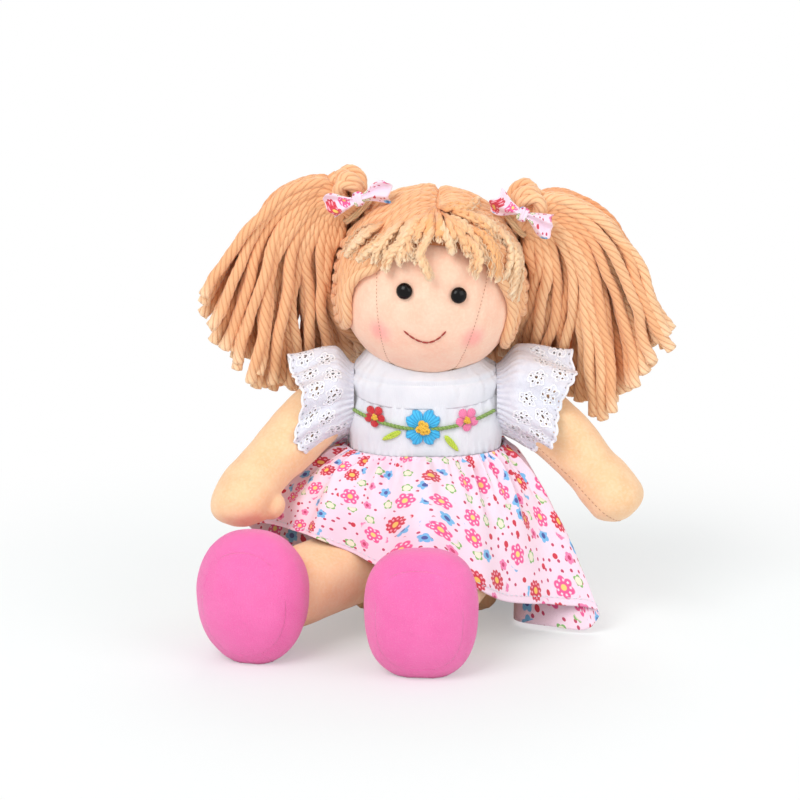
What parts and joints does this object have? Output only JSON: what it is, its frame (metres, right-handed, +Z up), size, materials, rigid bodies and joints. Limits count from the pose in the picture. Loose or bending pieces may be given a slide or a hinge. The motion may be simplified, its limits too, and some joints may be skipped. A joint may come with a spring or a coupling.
{
  "type": "rag doll",
  "caption": "Sitting stuffed cloth doll with yarn hair in bunches, a short gathered dress with lace sleeves, and soft boots; its head, bunches, arms and legs move.",
  "frame": {"origin": "middle of the flat seat under the torso, on the surface that the doll sits on", "axes": "+Z up, the face looks along -Y, the right hand is towards -X"},
  "size_m": [0.1972, 0.1585, 0.2005],
  "materials": {
    "skin_cloth": "fine brushed cotton, stuffed",
    "white_cotton": "plain woven cotton",
    "lace_cotton": "cotton with eyelet embroidery",
    "print_cotton": "woven cotton with a small flower print",
    "closing_tape": "hook and loop tape",
    "green_thread": "embroidery thread",
    "leaf_thread": "embroidery thread",
    "red_felt": "stitched cloth flower",
    "blue_felt": "stitched cloth flower",
    "pink_felt": "stitched cloth flower",
    "yellow_thread": "embroidery thread",
    "mouth_thread": "embroidery thread",
    "eye_plastic": "polished black",
    "washer_plastic": "plain moulded",
    "yarn": "plied wool yarn",
    "hair_elastic": "covered elastic",
    "boot_felt": "brushed fleece felt"
  },
  "bodies": {
    "torso": {"torso": "skin_cloth", "bodice_front": "white_cotton", "bodice_back_right": "white_cotton", "bodice_back_left": "white_cotton", "loop_strip": "closing_tape", "hook_strip": "closing_tape", "collar": "white_cotton", "skirt": "print_cotton", "embroidered_stem": "green_thread", "right_leaf": "leaf_thread", "left_leaf": "leaf_thread", "red_flower": "red_felt", "red_flower_centre": "yellow_thread", "blue_flower": "blue_felt", "blue_flower_centre": "yellow_thread", "pink_flower": "pink_felt", "pink_flower_centre": "yellow_thread"},
    "head": {"head": "skin_cloth", "right_eye": "eye_plastic", "right_eye_washer": "washer_plastic", "left_eye": "eye_plastic", "left_eye_washer": "washer_plastic", "mouth": "mouth_thread", "hair_cap": "yarn", "fringe": "yarn"},
    "right_bunch": {"right_bunch": "yarn", "right_hair_band": "hair_elastic", "right_bow": "print_cotton", "right_bow_knot": "print_cotton"},
    "right_arm": {"right_arm": "skin_cloth", "right_sleeve_frill": "lace_cotton"},
    "right_leg": {"right_leg": "skin_cloth", "right_boot": "boot_felt", "right_sole": "boot_felt"},
    "left_bunch": {"left_bunch": "yarn", "left_hair_band": "hair_elastic", "left_bow": "print_cotton", "left_bow_knot": "print_cotton"},
    "left_arm": {"left_arm": "skin_cloth", "left_sleeve_frill": "lace_cotton"},
    "left_leg": {"left_leg": "skin_cloth", "left_boot": "boot_felt", "left_sole": "boot_felt"}
  },
  "joints": [
    {"name": "head_nod", "type": "hinge", "parent": "torso", "child": "head", "pos_m": [0, 0, 0.101], "axis": [1, 0, 0], "range_deg": [-9, 8], "stiffness_Nm_per_rad": 0.15},
    {"name": "right_bunch_swing", "type": "hinge", "parent": "head", "child": "right_bunch", "pos_m": [-0.02936, 0, 0.18247], "axis": [0.673, 0, -0.7396], "range_deg": [0, 35]},
    {"name": "left_bunch_swing", "type": "hinge", "parent": "head", "child": "left_bunch", "pos_m": [0.03837, 0, 0.17714], "axis": [0.7804, 0, 0.6252], "range_deg": [0, 35]},
    {"name": "right_arm_swing", "type": "hinge", "parent": "torso", "child": "right_arm", "pos_m": [-0.0323, -0.001, 0.0985], "axis": [-1, 0, 0], "range_deg": [0, 100]},
    {"name": "left_arm_swing", "type": "hinge", "parent": "torso", "child": "left_arm", "pos_m": [0.0323, -0.001, 0.0985], "axis": [-1, 0, 0], "range_deg": [0, 100]},
    {"name": "right_hip", "type": "hinge", "parent": "torso", "child": "right_leg", "pos_m": [-0.019, -0.015, 0.032], "axis": [0.6221, -0.7788, -0.0809], "range_deg": [0, 76]},
    {"name": "left_hip", "type": "hinge", "parent": "torso", "child": "left_leg", "pos_m": [0.019, -0.015, 0.032], "axis": [0.9328, -0.3395, 0.1213], "range_deg": [0, 85]}
  ]
}
